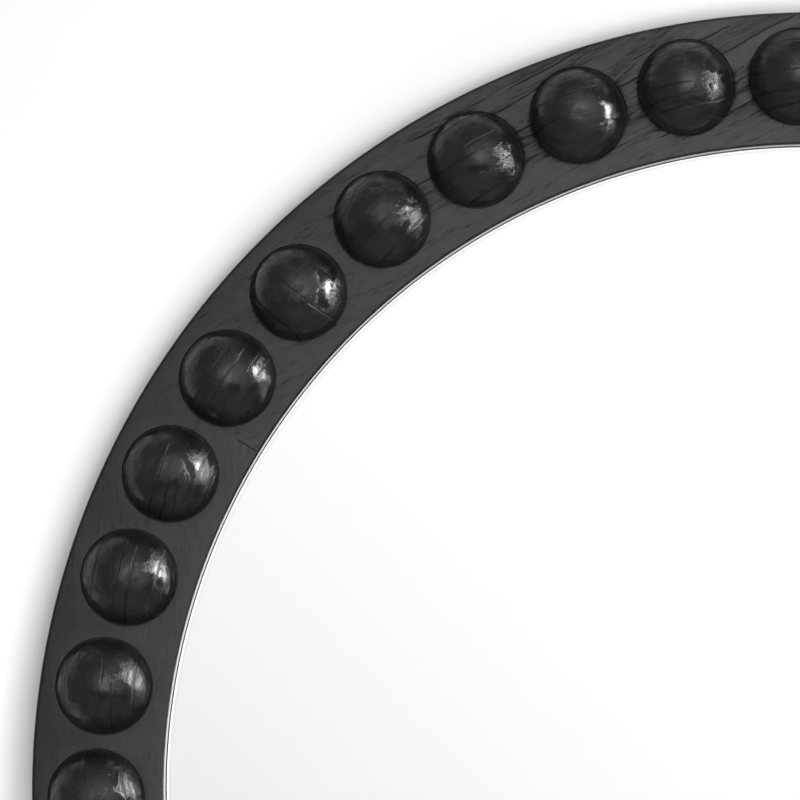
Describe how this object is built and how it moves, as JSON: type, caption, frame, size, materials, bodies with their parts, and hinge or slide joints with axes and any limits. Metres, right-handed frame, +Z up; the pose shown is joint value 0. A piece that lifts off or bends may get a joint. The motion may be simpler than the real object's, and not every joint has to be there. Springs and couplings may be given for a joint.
{
  "type": "round wall mirror",
  "caption": "Round wall mirror in a black-stained wooden ring of glued segments, set all round with half-ball studs, with swinging D-ring hangers at the back.",
  "frame": {"origin": "centre of the ring on the wall plane, which the bumpers' back faces touch", "axes": "+Z up, +Y into the wall, so the mirror faces -Y; +X to the right as it is looked at"},
  "size_m": [0.9, 0.0622, 0.9],
  "materials": {
    "stained_ring_wood": "satin black stain, open grain",
    "stained_stud_wood": "polished black stain",
    "dowel_beech": "plain",
    "clear_glass": "polished",
    "mirror_silver": "mirror",
    "block_rubber": "matte",
    "foam_strip": "matte closed-cell foam",
    "hardboard": "smooth hardboard",
    "zinc_screws": "zinc-plated",
    "zinc_straps": "zinc-plated",
    "ring_steel": "zinc-plated wire",
    "bumper_rubber": "matte"
  },
  "bodies": {
    "mirror": {"frame_segment_1": "stained_ring_wood", "frame_segment_2": "stained_ring_wood", "frame_segment_3": "stained_ring_wood", "frame_segment_4": "stained_ring_wood", "frame_segment_5": "stained_ring_wood", "frame_segment_6": "stained_ring_wood", "joint_dowels": "dowel_beech", "stud_01": "stained_stud_wood", "stud_02": "stained_stud_wood", "stud_03": "stained_stud_wood", "stud_04": "stained_stud_wood", "stud_05": "stained_stud_wood", "stud_06": "stained_stud_wood", "stud_07": "stained_stud_wood", "stud_08": "stained_stud_wood", "stud_09": "stained_stud_wood", "stud_10": "stained_stud_wood", "stud_11": "stained_stud_wood", "stud_12": "stained_stud_wood", "stud_13": "stained_stud_wood", "stud_14": "stained_stud_wood", "stud_15": "stained_stud_wood", "stud_16": "stained_stud_wood", "stud_17": "stained_stud_wood", "stud_18": "stained_stud_wood", "stud_19": "stained_stud_wood", "stud_20": "stained_stud_wood", "stud_21": "stained_stud_wood", "stud_22": "stained_stud_wood", "stud_23": "stained_stud_wood", "stud_24": "stained_stud_wood", "stud_25": "stained_stud_wood", "stud_26": "stained_stud_wood", "stud_27": "stained_stud_wood", "stud_28": "stained_stud_wood", "stud_29": "stained_stud_wood", "stud_30": "stained_stud_wood", "stud_31": "stained_stud_wood", "stud_32": "stained_stud_wood", "stud_33": "stained_stud_wood", "stud_34": "stained_stud_wood", "stud_35": "stained_stud_wood", "stud_36": "stained_stud_wood", "stud_37": "stained_stud_wood", "stud_38": "stained_stud_wood", "stud_39": "stained_stud_wood", "stud_40": "stained_stud_wood", "mirror_glass": "clear_glass", "silver_coat": "mirror_silver", "glass_blocks": "block_rubber", "glass_cushion": "foam_strip", "backing_board": "hardboard", "board_screws": "zinc_screws", "left_hanger_strap": "zinc_straps", "right_hanger_strap": "zinc_straps", "hanger_screws": "zinc_screws", "wall_bumpers": "bumper_rubber"},
    "left_ring": {"left_hanger_ring": "ring_steel"},
    "right_ring": {"right_hanger_ring": "ring_steel"}
  },
  "joints": [
    {"name": "left_ring_swing", "type": "hinge", "parent": "mirror", "child": "left_ring", "pos_m": [-0.31778, -0.00312, 0.28718], "axis": [-1, 0, 0], "range_deg": [0, 184]},
    {"name": "right_ring_swing", "type": "hinge", "parent": "mirror", "child": "right_ring", "pos_m": [0.31778, -0.00312, 0.28718], "axis": [-1, 0, 0], "range_deg": [0, 184]}
  ]
}
